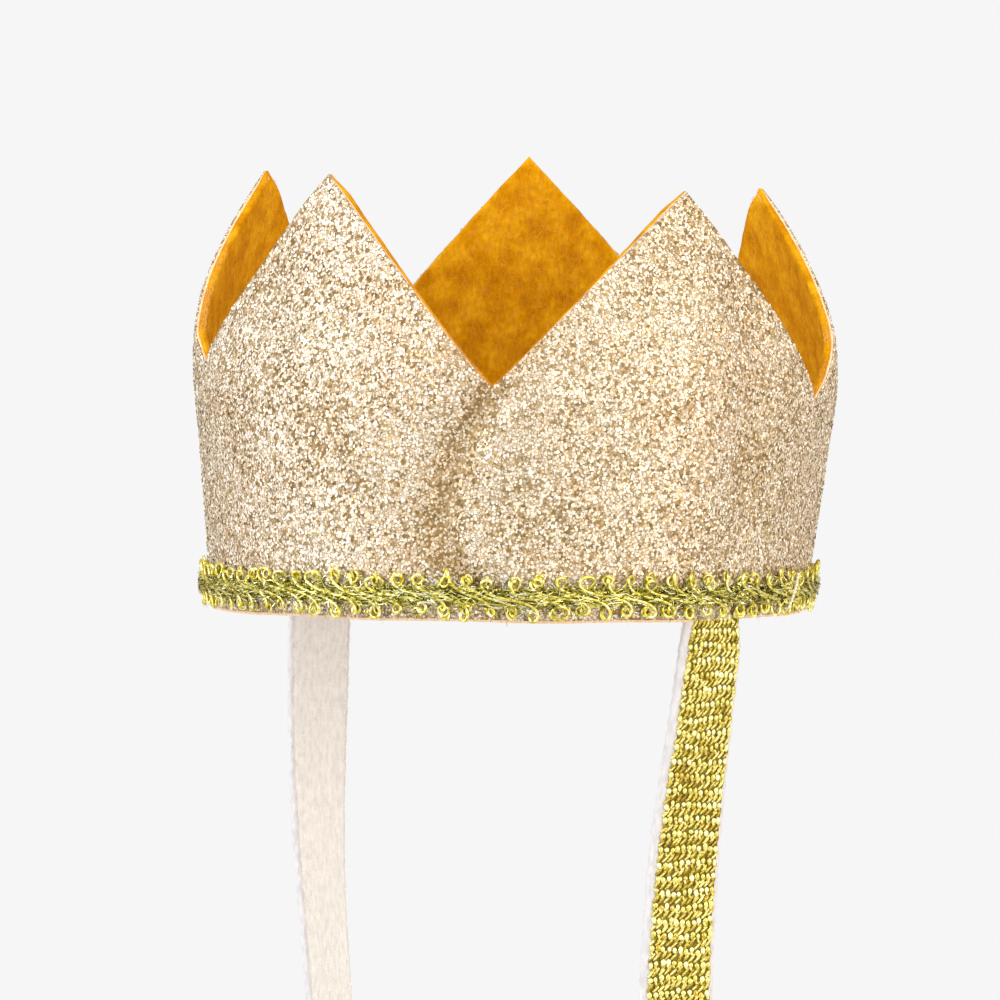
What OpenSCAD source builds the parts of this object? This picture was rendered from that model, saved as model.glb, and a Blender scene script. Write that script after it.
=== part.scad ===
// Small fabric party crown with a scroll braid round its hem and an elastic chin strap.
// Frame: origin at the centre of the head opening in the plane of the lower hem, +Z up,
// -Y the wearer's front, +X the wearer's left. Angles round the crown run from -Y towards +X.

/* [Crown] */
// Outside radius of the crown at its lower hem
hem_r = 55; // [46:0.5:66]
// Outside radius of the crown where it is widest, a little above the valleys
waist_r = 59; // [52:0.5:72]
// Height of that widest level above the valleys
waist_rise = 5; // [1:0.5:8]
// Outside radius of the crown at the tips of its points, which lean inwards
tip_r = 49.6; // [42:0.2:62]
// Height of the valleys between the points, above the hem
valley_h = 41.2; // [30:0.2:54]
// Height of the tips of the points, above the hem
tip_h = 78; // [64:0.5:98]
// Number of points
points = 5; // [4:1:8]
// Angle from the front centre to the middle of the first point
point_turn = 9; // [0:1:20]

/* [Cloth] */
// Thickness of the glitter coat on the outer fabric
glitter_t = 0.4; // [0.3:0.05:0.8]
// Thickness of the woven ground under the glitter coat
ground_t = 0.4; // [0.3:0.05:0.8]
// Thickness of the felt lining
felt_t = 1.3; // [1:0.1:3]
// Gap between the two ends of the strip, where they butt at the back valley
seam_gap = 0.3; // [0.2:0.1:1]

/* [Thread] */
// Radius of the sewing thread
thread_r = 0.2; // [0.15:0.05:0.35]
// Length of one stitch across the back seam
seam_stitch_l = 4; // [3:0.5:6]
// Rise from one stitch of the back seam to the next
seam_stitch_pitch = 3; // [2:0.5:6]

/* [Braid] */
// Height of the middle of the braid above the hem
braid_z = 4.2; // [3.9:0.1:8]
// Radius of the two plain cords that edge the core of the braid
edge_cord_r = 0.45; // [0.3:0.05:0.55]
// Height of the plait between the two edge cords
plait_h = 2; // [1.4:0.1:2.6]
// Depth of the plait, out from the fabric
plait_d = 1.1; // [0.8:0.1:1.4]
// Radius of the scroll cord that the curls are made of
curl_cord_r = 0.24; // [0.15:0.01:0.3]
// Radius of one curl, to the middle of its cord
curl_r = 0.8; // [0.5:0.05:0.9]
// Distance from one curl to the next round the hem
curl_pitch = 4.1; // [3:0.1:6]
// Angle round the crown at which the braid's ends meet
braid_end_turn = 112; // [105:1:125]
// Length of the braid's lapped end
braid_lap_l = 5; // [3:0.5:8]

/* [Strap] */
// Width of the elastic strap
strap_w = 13.5; // [8:0.5:20]
// Thickness of the elastic strap
strap_t = 2; // [1:0.1:2.5]
// Height of the sewn tab inside the crown, above the hem
tab_h = 16; // [10:0.5:24]
// Length of the tab that shows below the hem
tab_show = 2; // [1:0.5:6]
// Drop from the axis on which the hanging strap swings to the lowest point of its loop
loop_drop = 146; // [120:1:190]
// Angle that each strand leans towards the middle
strap_lean = 4.66; // [0:0.02:6]
// Length of each strand that the stretch is taken in
stretch_l = 52; // [40:1:60]

/* [Clearances] */
// Gap between the strap and a neighbour that it moves past
moving_gap = 0.3; // [0.2:0.05:0.5]
// Gap between faces that only lie against each other
laid_gap = 0.02; // [0.01:0.01:0.05]

/* [Hidden] */
$fn = 96;

// Shape of the wall
wall_t = glitter_t + ground_t + felt_t;
point_step = 360 / points;
lean_steps = 6;
lean_power = 1.3;
waist_h = valley_h + waist_rise;
flare = (waist_r - hem_r) / waist_h;
flare_angle = atan(flare);
// How much farther out a thickness reaches once it lies on the flared wall
flare_reach = 1 / cos(flare_angle);
notch_half_w = tip_r * sin(point_step / 2);
notch_slope = notch_half_w / (tip_h - valley_h);
over = 4;
seam_turn = point_turn + point_step * (floor(points / 2) + 0.5);

// Outer radius of the wall at a height; below the hem the flare simply carries on
function wall_r(z) = z <= waist_h
    ? hem_r + flare * z
    : waist_r - (waist_r - tip_r) * pow((z - waist_h) / (tip_h - waist_h), lean_power);

// Heights at which the turned profile bends, the last one just clear of the tips
function wall_levels() = [
    0, for (i = [0 : lean_steps]) waist_h + (tip_h + 1 - waist_h) * i / lean_steps
];
function inner_r(z) = wall_r(z) - wall_t;

// Braid
core_half_h = plait_h / 2 + 2 * edge_cord_r + 2 * laid_gap;
edge_cord_dz = plait_h / 2 + edge_cord_r + laid_gap;
curl_dz = core_half_h + curl_r + curl_cord_r + laid_gap;
curl_count = round(2 * PI * hem_r / curl_pitch);
lap_angle = braid_lap_l / (hem_r + plait_d) * 180 / PI;

// Strap
swing_z = -(tab_show + moving_gap + strap_w / 2);
strap_x = sqrt(pow(inner_r(0), 2) - pow(strap_w / 2, 2)) - moving_gap;
loop_r = (strap_x * cos(strap_lean) - loop_drop * sin(strap_lean)) / (1 - sin(strap_lean));
loop_z = swing_z - loop_drop + loop_r;
strand_l = (swing_z - loop_z + loop_r * sin(strap_lean)) / cos(strap_lean);
strand_rigid_l = strand_l - stretch_l;
tab_half_angle = asin(strap_w / 2 / inner_r(0));
tab_stitch_rows = [0.3, 0.7];
tab_stitch_l = strap_w / 7;
tab_stitch_angle = tab_half_angle * 0.38;

// A turned layer of the wall, from one depth under its outer face to another
module wall_layer(depth, thick) {
    levels = wall_levels();
    last = len(levels) - 1;
    difference() {
        rotate_extrude()
            polygon([
                for (i = [0 : last]) [wall_r(levels[i]) - depth, levels[i]],
                for (i = [last : -1 : 0]) [wall_r(levels[i]) - depth - thick, levels[i]]
            ]);
        for (k = [0 : points - 1])
            rotate([0, 0, point_turn + point_step * (k + 0.5)])
                notch();
        rotate([0, 0, seam_turn])
            translate([-seam_gap / 2, -waist_r - over, -over])
                cube([seam_gap, waist_r + over, tip_h]);
    }
}

// The straight-sided cut between two points
module notch() {
    rise = tip_h - valley_h + over;
    rotate([90, 0, 0])
        linear_extrude(waist_r + over)
            polygon([
                [0, valley_h],
                [notch_slope * rise, valley_h + rise],
                [-notch_slope * rise, valley_h + rise]
            ]);
}

module glitter_face() {
    color("#dacaad")
        wall_layer(0, glitter_t);
}

module fabric_ground() {
    color("#e3b48c")
        wall_layer(glitter_t, ground_t);
}

module felt_lining() {
    color("#d28b15")
        wall_layer(glitter_t + ground_t, felt_t);
}

// Stitches across the butt seam, inside and outside, from above the braid to the valley
module seam_stitches() {
    first = braid_z + curl_dz + curl_r + 2 * thread_r + 1;
    color("#c9a24a")
        rotate([0, 0, seam_turn])
            for (z = [first : seam_stitch_pitch : valley_h - 2])
                for (r = [wall_r(z) + flare_reach * thread_r, inner_r(z) - flare_reach * thread_r])
                    translate([-seam_stitch_l / 2, -r, z])
                        rotate([0, 90, 0])
                            cylinder(h = seam_stitch_l, r = thread_r, $fn = 16);
}

module edge_cord(z) {
    rotate_extrude()
        translate([wall_r(z) + flare_reach * (edge_cord_r + laid_gap), z])
            circle(r = edge_cord_r, $fn = 24);
}

module braid_upper_cord() {
    color("#9a8f2f")
        edge_cord(braid_z + edge_cord_dz);
}

module braid_lower_cord() {
    color("#9a8f2f")
        edge_cord(braid_z - edge_cord_dz);
}

// The plait is a band with rounded corners, which follows the flare of the wall
module braid_centre_plait() {
    low = braid_z - plait_h / 2;
    high = braid_z + plait_h / 2;
    corner = plait_d / 3;
    color("#6f6a1e")
        rotate_extrude()
            polygon([
                [wall_r(low) + laid_gap, low],
                [wall_r(low) + plait_d - corner, low],
                [wall_r(low + corner) + plait_d, low + corner],
                [wall_r(high - corner) + plait_d, high - corner],
                [wall_r(high) + plait_d - corner, high],
                [wall_r(high) + laid_gap, high]
            ]);
}

// A row of curls lying flat on the fabric, side by side round the hem
module curls(z) {
    for (i = [0 : curl_count - 1])
        rotate([0, 0, i * 360 / curl_count])
            translate([0, -wall_r(z) - flare_reach * (curl_cord_r + laid_gap), z])
                rotate([90 + flare_angle, 0, 0])
                    rotate_extrude($fn = 24)
                        translate([curl_r, 0])
                            circle(r = curl_cord_r, $fn = 8);
}

module braid_upper_curls() {
    color("#c9bd45")
        curls(braid_z + curl_dz);
}

module braid_lower_curls() {
    color("#c9bd45")
        curls(braid_z - curl_dz);
}

// The cut end of the braid, lapped over its start
module braid_lapped_end() {
    low = braid_z - core_half_h;
    high = braid_z + core_half_h;
    inside = plait_d + laid_gap;
    color("#b6a93c")
        rotate([0, 0, braid_end_turn - 90 - lap_angle / 2])
            rotate_extrude(angle = lap_angle)
                polygon([
                    [wall_r(low) + inside, low],
                    [wall_r(low) + inside + edge_cord_r, low],
                    [wall_r(high) + inside + edge_cord_r, high],
                    [wall_r(high) + inside, high]
                ]);
}

// One pale stitch that slants over the lapped end and holds it down
module braid_end_tack() {
    reach = core_half_h + 2 * curl_r;
    depth = plait_d + edge_cord_r + flare_reach * (thread_r + 3 * laid_gap);
    color("#e9dcc3")
        rotate([0, 0, braid_end_turn])
            translate([0, -wall_r(braid_z) - depth, braid_z])
                rotate([flare_angle, 20, 0])
                    cylinder(h = reach, r = thread_r, center = true, $fn = 16);
}

// Side +1 is the wearer's left, side -1 the wearer's right
module on_side(side) {
    if (side > 0)
        children();
    else
        mirror([1, 0, 0])
            children();
}

// The strap's end lies against the lining and stops just short of the swinging strand
module strap_tab(side) {
    low = -tab_show;
    on_side(side)
        color("#e8e4dc")
            rotate([0, 0, -tab_half_angle])
                rotate_extrude(angle = 2 * tab_half_angle)
                    polygon([
                        [inner_r(low) - laid_gap, low],
                        [inner_r(tab_h) - laid_gap, tab_h],
                        [inner_r(tab_h) - laid_gap - strap_t, tab_h],
                        [inner_r(low) - laid_gap - strap_t, low]
                    ]);
}

module strap_tab_left() {
    strap_tab(1);
}

module strap_tab_right() {
    strap_tab(-1);
}

// Two rows of stitches half sunk in the face of the tab
module strap_stitches(side) {
    on_side(side)
        color("#efe9dd")
            for (row = tab_stitch_rows)
                for (k = [-2 : 2])
                    rotate([0, 0, k * tab_stitch_angle])
                        translate([
                            inner_r(tab_h * row) - laid_gap - strap_t,
                            -tab_stitch_l / 2,
                            tab_h * row
                        ])
                            rotate([-90, 0, 0])
                                cylinder(h = tab_stitch_l, r = thread_r, $fn = 16);
}

module strap_stitches_left() {
    strap_stitches(1);
}

module strap_stitches_right() {
    strap_stitches(-1);
}

// Places a strand's own frame: its outer face on x = 0, its length down from the swing axis
module strand_frame(side) {
    on_side(side)
        translate([strap_x, 0, swing_z])
            rotate([0, strap_lean, 0])
                children();
}

module strand_piece(from, to) {
    translate([-strap_t, -strap_w / 2, -to])
        cube([strap_t, strap_w, to - from]);
}

// Upper part of a strand, with the round head that turns under the tab
module strap_strand(side) {
    strand_frame(side)
        color("#c4b466")
            union() {
                strand_piece(0, strand_rigid_l - laid_gap);
                translate([-strap_t, 0, 0])
                    rotate([0, 90, 0])
                        cylinder(h = strap_t, r = strap_w / 2);
            }
}

module strap_strand_left() {
    strap_strand(1);
}

module strap_strand_right() {
    strap_strand(-1);
}

// The stretch of both strands is taken here, so this piece grows longer as the loop drops
module strap_stretch(side) {
    strand_frame(side)
        color("#bdae60")
            strand_piece(strand_rigid_l, strand_l - laid_gap);
}

module strap_stretch_left() {
    strap_stretch(1);
}

module strap_stretch_right() {
    strap_stretch(-1);
}

// The round bottom of the loop, which passes under the chin
module strap_loop() {
    sweep = 180 - 2 * strap_lean;
    color("#c4b466")
        translate([0, strap_w / 2, loop_z])
            rotate([90, 0, 0])
                rotate([0, 0, 180 + strap_lean])
                    linear_extrude(strap_w)
                        difference() {
                            circle(r = loop_r);
                            circle(r = loop_r - strap_t);
                            rotate([0, 0, 180])
                                half_plane();
                            rotate([0, 0, sweep])
                                half_plane();
                        }
}

// Everything on the far side of the x axis, wide enough to cut the loop
module half_plane() {
    translate([-2 * loop_r, 0])
        square([4 * loop_r, 2 * loop_r]);
}

glitter_face();
fabric_ground();
felt_lining();
seam_stitches();
braid_upper_cord();
braid_centre_plait();
braid_lower_cord();
braid_upper_curls();
braid_lower_curls();
braid_lapped_end();
braid_end_tack();
strap_tab_left();
strap_tab_right();
strap_stitches_left();
strap_stitches_right();
strap_strand_left();
strap_strand_right();
strap_stretch_left();
strap_stretch_right();
strap_loop();
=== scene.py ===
"""A small fabric party crown: glitter wall lined with felt, scroll braid at the hem, elastic chin strap."""
import math

import bpy
import numpy as np
from mathutils import Matrix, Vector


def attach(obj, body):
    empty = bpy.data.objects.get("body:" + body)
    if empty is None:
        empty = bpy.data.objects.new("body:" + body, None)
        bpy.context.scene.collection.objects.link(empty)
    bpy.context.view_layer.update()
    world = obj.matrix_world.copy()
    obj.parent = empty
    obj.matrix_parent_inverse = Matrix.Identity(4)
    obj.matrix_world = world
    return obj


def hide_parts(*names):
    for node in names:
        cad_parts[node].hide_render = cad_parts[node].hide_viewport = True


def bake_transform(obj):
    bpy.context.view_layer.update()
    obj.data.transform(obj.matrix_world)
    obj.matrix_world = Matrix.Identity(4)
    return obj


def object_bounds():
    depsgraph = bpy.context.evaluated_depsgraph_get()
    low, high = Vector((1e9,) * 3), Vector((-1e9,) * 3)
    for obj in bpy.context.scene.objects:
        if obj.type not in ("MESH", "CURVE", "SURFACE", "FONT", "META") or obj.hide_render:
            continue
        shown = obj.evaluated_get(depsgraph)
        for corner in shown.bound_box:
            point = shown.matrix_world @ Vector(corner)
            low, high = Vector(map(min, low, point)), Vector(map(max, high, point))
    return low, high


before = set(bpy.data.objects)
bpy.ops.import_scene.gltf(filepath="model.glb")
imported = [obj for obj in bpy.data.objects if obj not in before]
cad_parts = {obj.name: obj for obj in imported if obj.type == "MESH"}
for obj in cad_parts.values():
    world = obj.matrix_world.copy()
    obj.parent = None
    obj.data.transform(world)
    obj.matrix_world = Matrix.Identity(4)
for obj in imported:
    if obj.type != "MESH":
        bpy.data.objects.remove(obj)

CAD_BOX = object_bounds()
MM = 0.001
RNG = np.random.default_rng(20260731)

# ------ driving sizes, millimetres and degrees
# The direction the photograph was taken from, as a turn round the crown
VIEW_TURN = 47.75
# The wall: outside radius at the hem, how far the hem stands aside from the middle as the photograph shows,
# and the radius and height of the widest level, past which the wall leans in over a rounded knee
HEM_R = 54.0
HEM_SHIFT = -0.9
WAIST_R = 58.4
WAIST_H = 42.0
KNEE = 3.5
# The lean of the points: its size against the tip's own radius, how gently it starts, and its power
LEAN = 1.18
LEAN_START = 0.30
LEAN_POWER = 0.62
# How far the points are flat instead of round, and how far their cuts are straight in the flat strip
FLAT_POINTS = 0.34
CUT_MIX = 0.29
WALL_T = 2.1
GLITTER_T = 0.4
GROUND_T = 0.4
FELT_T = WALL_T - GLITTER_T - GROUND_T
# Each point: turn round the crown, outside radius at the tip, height of the tip
POINTS = [(5.7, 50.5, 77.4), (82.2, 52.0, 75.4), (160.6, 48.7, 76.6),
          (225.6, 50.3, 82.2), (293.7, 51.7, 78.5)]
# Each valley after the point of the same place in the list: turn, height
VALLEYS = [(43.5, 40.5), (114.2, 38.4), (189.0, 41.6), (260.4, 41.6), (335.4, 43.2)]
# Random places on the wall are drawn below this height, which is above every tip
HIGHEST = 83.0
# The back seam: its turn and top, and half of its gap
SEAM_TURN, SEAM_TOP = VALLEYS[2]
SEAM_HALF_GAP = 0.12
# How many glitter flakes on the face, fibres on the lining and fibres at the felt's cut edge
FLAKE_COUNT = 40000
LINING_FIBRES = 30000
EDGE_FIBRES = 14000
# The braid: height of its middle, turn of its lapped end, its length, and how many scrolls go round
BRAID_Z = 4.2
BRAID_END_TURN = 112.0
BRAID_RUN = 2 * np.pi * HEM_R
SCROLLS = 21
TINSEL = 5200
# The elastic: width and thickness, then the knit's columns (wales) and rows (courses) and its offset across
STRAP_W = 13.2
STRAP_T = 1.8
WALES = 11
WALE = 1.03
KNIT_SHIFT = 0.3
KNIT_HALF = 5.5
COURSE = 2.6
PLUSH_PER_MM = 60
# Height at which the strands end and the loop begins, and the floor's room for the loop when stretched
SPLIT_Z = -20.0
LOOP_ROOM = 50.0


# ------ small helpers
def smooth(x):
    x = np.clip(x, 0.0, 1.0)
    return x * x * (3 - 2 * x)


def wave_noise(a, b, seed, scale, octaves=3):
    """Smooth noise of two coordinates, from a few random waves, about -1 to 1."""
    rng = np.random.default_rng(seed)
    total = np.zeros(np.broadcast(a, b).shape)
    size = 1.0
    for _ in range(octaves):
        for _ in range(5):
            angle = rng.uniform(0, 2 * np.pi)
            length = scale * size * rng.uniform(0.7, 1.4)
            phase = rng.uniform(0, 2 * np.pi)
            run = a * np.cos(angle) + b * np.sin(angle)
            total = total + size * np.sin(2 * np.pi * run / length + phase)
        size *= 0.5
    return total / 5.0


def unit(v):
    return v / np.maximum(np.linalg.norm(v, axis=-1, keepdims=True), 1e-12)


def make_object(name, verts, faces, material, smooth_shade=True, attributes=None, material_index=None):
    """A mesh object from points in millimetres. Attributes are per point, by name."""
    mesh = bpy.data.meshes.new(name)
    verts = np.asarray(verts, float) * MM
    faces = np.asarray(faces, np.int64)
    sides = faces.shape[1]
    mesh.vertices.add(len(verts))
    mesh.vertices.foreach_set("co", verts.ravel())
    mesh.loops.add(faces.size)
    mesh.loops.foreach_set("vertex_index", faces.ravel())
    mesh.polygons.add(len(faces))
    mesh.polygons.foreach_set("loop_start", np.arange(0, faces.size, sides))
    mesh.polygons.foreach_set("loop_total", np.full(len(faces), sides))
    mesh.update(calc_edges=True)
    mesh.polygons.foreach_set("use_smooth", np.full(len(faces), smooth_shade))
    for key, value in (attributes or {}).items():
        layer = mesh.attributes.new(key, "FLOAT", "POINT")
        layer.data.foreach_set("value", np.asarray(value, np.float32))
    for m in material if isinstance(material, list) else [material]:
        mesh.materials.append(m)
    if material_index is not None:
        mesh.polygons.foreach_set("material_index", np.asarray(material_index, np.int32))
    mesh.validate()
    obj = bpy.data.objects.new(name, mesh)
    bpy.context.scene.collection.objects.link(obj)
    return obj


def grid_faces(rows, cols, wrap=False, offset=0, flip=False):
    """Quads of a rows x cols grid of points, row by row."""
    r = np.arange(rows - 1)[:, None]
    c = np.arange(cols if wrap else cols - 1)[None, :]
    n = (c + 1) % cols
    quads = np.stack([r * cols + c, r * cols + n, (r + 1) * cols + n, (r + 1) * cols + c], -1)
    quads = quads.reshape(-1, 4)
    if flip:
        quads = quads[:, ::-1]
    return quads + offset


def fan(sides):
    """Quads that fill a ring of points. One thin corner stays open where the number of sides is odd."""
    return np.array([[0, j, j + 1, j + 2] for j in range(1, sides - 2, 2)])


def repeated(one, copies, size):
    """The faces of one part, once for each of several copies that have size points each."""
    return (one[None] + (np.arange(copies) * size)[:, None, None]).reshape(-1, 4)


def tubes(paths, normals, radius, sides=6, flat=1.0):
    """Round tubes along several paths of equal length, as (verts, faces, run along each path).
    paths: (n, k, 3). normals: (n, k, 3), a direction that is roughly across each path."""
    n, k, _ = paths.shape
    tangent = unit(np.gradient(paths, axis=1))
    side = unit(np.cross(tangent, normals))
    up = np.cross(side, tangent)
    angle = np.linspace(0, 2 * np.pi, sides, endpoint=False)
    ring = (np.cos(angle)[:, None] * side[:, :, None, :]
            + flat * np.sin(angle)[:, None] * up[:, :, None, :]) * radius
    verts = (paths[:, :, None, :] + ring).reshape(-1, 3)
    cap = fan(sides)
    parts = (grid_faces(k, sides, wrap=True), cap[:, ::-1], cap + (k - 1) * sides)
    faces = np.concatenate([repeated(part, n, k * sides) for part in parts])
    steps = np.linalg.norm(np.diff(paths, axis=1), axis=-1)
    along = np.concatenate([np.zeros((n, 1)), np.cumsum(steps, 1)], 1)
    return verts, faces, np.repeat(along, sides, axis=1).reshape(-1)


def cord(path, normals, radius, sides=6, flat=1.0):
    """One tube along one path."""
    return tubes(path[None], normals[None], radius, sides, flat)


def beads(centres, ax, ay, az, sizes, rings=5, sides=8):
    """Ellipsoids at centres, with axes ax, ay, az (unit vectors) and half sizes (n, 3)."""
    theta = np.linspace(0, np.pi, rings + 2)[1:-1]
    phi = np.linspace(0, 2 * np.pi, sides, endpoint=False)
    ball = np.stack([
        np.outer(np.sin(theta), np.cos(phi)).ravel(),
        np.outer(np.sin(theta), np.sin(phi)).ravel(),
        np.repeat(np.cos(theta), sides)], -1)
    cap = fan(sides)
    one = np.concatenate([grid_faces(rings, sides, wrap=True), cap[:, ::-1], cap + (rings - 1) * sides])
    local = ball[None] * np.asarray(sizes)[:, None, :]
    verts = (centres[:, None, :] + local[..., 0:1] * ax[:, None, :]
             + local[..., 1:2] * ay[:, None, :] + local[..., 2:3] * az[:, None, :])
    return verts.reshape(-1, 3), repeated(one, len(centres), rings * sides)


def join(cords):
    """Several (verts, faces, run along) as one."""
    verts, faces, along, base = [], [], [], 0
    for v, f, run in cords:
        verts.append(v)
        faces.append(f + base)
        along.append(run)
        base += len(v)
    return np.concatenate(verts), np.concatenate(faces), np.concatenate(along)


def crown_cords(name, cords, material, node):
    """One piece of the crown made of cords, which stands for one CAD node."""
    verts, faces, along = join(cords)
    piece = make_object(name, verts, faces, material, attributes={"along": along})
    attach(piece, "crown")
    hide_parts(node)


# ------ the crown's wall
def turn_between(a, b):
    """Signed angle from b to a, between -180 and 180."""
    return (a - b + 180.0) % 360.0 - 180.0


def off_tips(alpha):
    """Signed angles from each tip to a turn round the crown."""
    return np.stack([turn_between(alpha, t) for t, _, _ in POINTS])


def tip_weight(alpha):
    """How much each point's own lean counts at a turn round the crown."""
    off = off_tips(alpha)
    w = np.where(np.abs(off) > 72, 0.0, np.clip(np.cos(np.radians(off) * 1.25), 0.02, 1) ** 4)
    return w / np.maximum(w.sum(0), 1e-9)


def creases(alpha, z):
    """Soft folds in the stiff cloth, as a push along the outward normal, in millimetres."""
    # The hollow that runs down and aside from the front valley, then back again to the hem
    run = np.clip((41.0 - z) / 41.0, 0, 1)
    aside = 8.5 * np.sin(np.pi * np.clip(run * 0.83, 0, 1)) ** 1.2
    path = VALLEYS[0][0] - aside + 6.0 * smooth((run - 0.7) / 0.3)
    across = turn_between(alpha, path) * HEM_R * np.pi / 180
    deep = 1.6 * smooth((46 - z) / 12) * (0.55 + 0.45 * smooth((z - 2) / 12))
    push = -deep * np.exp(-((across / 3.6) ** 2))
    push += 0.45 * deep * np.exp(-(((across - 8.5) / 5.0) ** 2))
    # The soft upright ridge below the second point, past which the wall turns away
    ridge = turn_between(alpha, POINTS[1][0] + 0.5) * HEM_R * np.pi / 180
    push += 0.9 * np.exp(-((ridge / 6.0) ** 2)) * smooth((z - 4) / 14) * smooth((74 - z) / 20)
    push += -0.5 * np.exp(-(((ridge - 12) / 6.0) ** 2)) * smooth((z - 6) / 20)
    # Gentle unevenness all over, less at the hem, which the braid holds round
    a = np.radians(alpha)
    uneven = wave_noise(np.cos(a) * 60, z * 0.7 + np.sin(a) * 60, 11, 46.0, 2)
    return push + 0.35 * uneven * smooth((z + 6) / 30)


def wall_radius(alpha, z):
    """Outside radius of the wall at a turn and a height, in millimetres."""
    alpha, z = np.broadcast_arrays(np.asarray(alpha, float), np.asarray(z, float))
    w = tip_weight(alpha)
    tip_r = sum(w[i] * POINTS[i][1] for i in range(5))
    tip_z = sum(w[i] * POINTS[i][2] for i in range(5))
    over = KNEE * np.logaddexp(0, (z - WAIST_H) / KNEE)
    up = np.clip(over / (tip_z - WAIST_H), 0, 1.1)
    lean = LEAN * (up * up / (up + LEAN_START)) ** LEAN_POWER
    hem = HEM_R + HEM_SHIFT * np.sin(np.radians(alpha - VIEW_TURN))
    r = hem + (WAIST_R - hem) * (z - over) / WAIST_H - (WAIST_R - tip_r) * lean
    off = np.min(np.abs(off_tips(alpha)), 0)
    flat = smooth((z - 26) / 40) * FLAT_POINTS
    r = r * (1 + flat * (1 / np.cos(np.radians(np.minimum(off, 36))) - 1))
    return r + creases(alpha, z)


def pinch(alpha, z):
    """Share of its full thickness that the cloth keeps: it is pressed thin at the very tips."""
    away = np.min([np.hypot(turn_between(alpha, t) * 0.9, z - high) for t, _, high in POINTS], 0)
    return 1 - 0.6 * np.exp(-((away / 3.2) ** 2))


def wall_point(alpha, z, depth=0.0):
    """A point of the wall, at a depth under its outer face."""
    r = wall_radius(alpha, z) - depth * pinch(alpha, z)
    a = np.radians(alpha)
    return np.stack([r * np.sin(a), -r * np.cos(a), np.broadcast_to(z, r.shape)], -1)


def wall_frame(alpha, z, depth=0.0):
    """(point, outward normal, direction of growing turn, upward direction) of the wall."""
    p = wall_point(alpha, z, depth)
    step = 0.25
    east = unit(wall_point(alpha + step, z, depth) - wall_point(alpha - step, z, depth))
    north = unit(wall_point(alpha, z + step, depth) - wall_point(alpha, z - step, depth))
    normal = unit(np.cross(east, north))
    return p, normal, east, unit(np.cross(normal, east))


def hem_line(alpha):
    """Height of the cut lower edge: nearly flat, with a little wander and one shallow dip."""
    a = np.radians(alpha)
    dip = 0.7 * np.exp(-((turn_between(alpha, 312.0) / 26.0) ** 2))
    return 0.45 * np.sin(a * 2 - 1.9) + 0.25 * np.sin(a * 3 + 0.4) + 0.10 * np.sin(a * 11 + 1.0) - dip


def outline_height(alpha):
    """Height of the cut upper edge: straight cuts from each tip down to the valleys beside it."""
    alpha = np.asarray(alpha, float)
    best = np.full(alpha.shape, 1e9)
    for i in range(5):
        tip_turn, tip_r, tip_z = POINTS[i]
        for valley_turn, valley_z in (VALLEYS[i], VALLEYS[i - 1]):
            reach = turn_between(tip_turn, valley_turn)
            away = turn_between(alpha, valley_turn) / reach
            here = (away >= -1e-9) & (away <= 1 + 1e-9)
            slope = tip_r * math.sin(math.radians(abs(reach))) / (tip_z - valley_z)
            half = math.radians(abs(reach)) * wall_radius(valley_turn, valley_z)
            low, high = np.full(alpha.shape, valley_z), np.full(alpha.shape, tip_z)
            for _ in range(22):
                mid = (low + high) / 2
                r = wall_radius(alpha, mid)
                # Cut straight as seen from outside, and partly straight as it lay flat
                from_valley = np.radians(np.abs(turn_between(alpha, valley_turn)))
                from_tip = np.radians(np.abs(turn_between(alpha, tip_turn)))
                seen = r * np.sin(from_valley) - slope * (mid - valley_z)
                laid = half * (tip_z - mid) / (tip_z - valley_z) - r * from_tip
                wide = CUT_MIX * laid + (1 - CUT_MIX) * seen > 0
                low = np.where(wide, mid, low)
                high = np.where(wide, high, mid)
            best = np.where(here, np.minimum(best, (low + high) / 2), best)
    return best


def wall_columns(per_run):
    """Turns from one side of the back seam to the other, with a column at every tip and valley."""
    gap = SEAM_HALF_GAP * 180 / np.pi / WAIST_R
    keys = [SEAM_TURN + gap]
    for i in (3, 4, 0, 1, 2):
        tip = keys[0] + (POINTS[i][0] - keys[0]) % 360
        valley = keys[0] + (VALLEYS[i][0] - keys[0]) % 360
        keys += [tip, valley if i != 2 else SEAM_TURN + 360 - gap]
    runs = [np.linspace(a, b, per_run, endpoint=False) for a, b in zip(keys[:-1], keys[1:])]
    return np.concatenate(runs + [[keys[-1]]])


COLUMNS = wall_columns(48)
TOP = outline_height(COLUMNS)
HEM = hem_line(COLUMNS)


def top_at(alpha):
    """Height of the cut upper edge at any turn."""
    return np.interp((alpha - COLUMNS[0]) % 360 + COLUMNS[0], COLUMNS, TOP)


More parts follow.
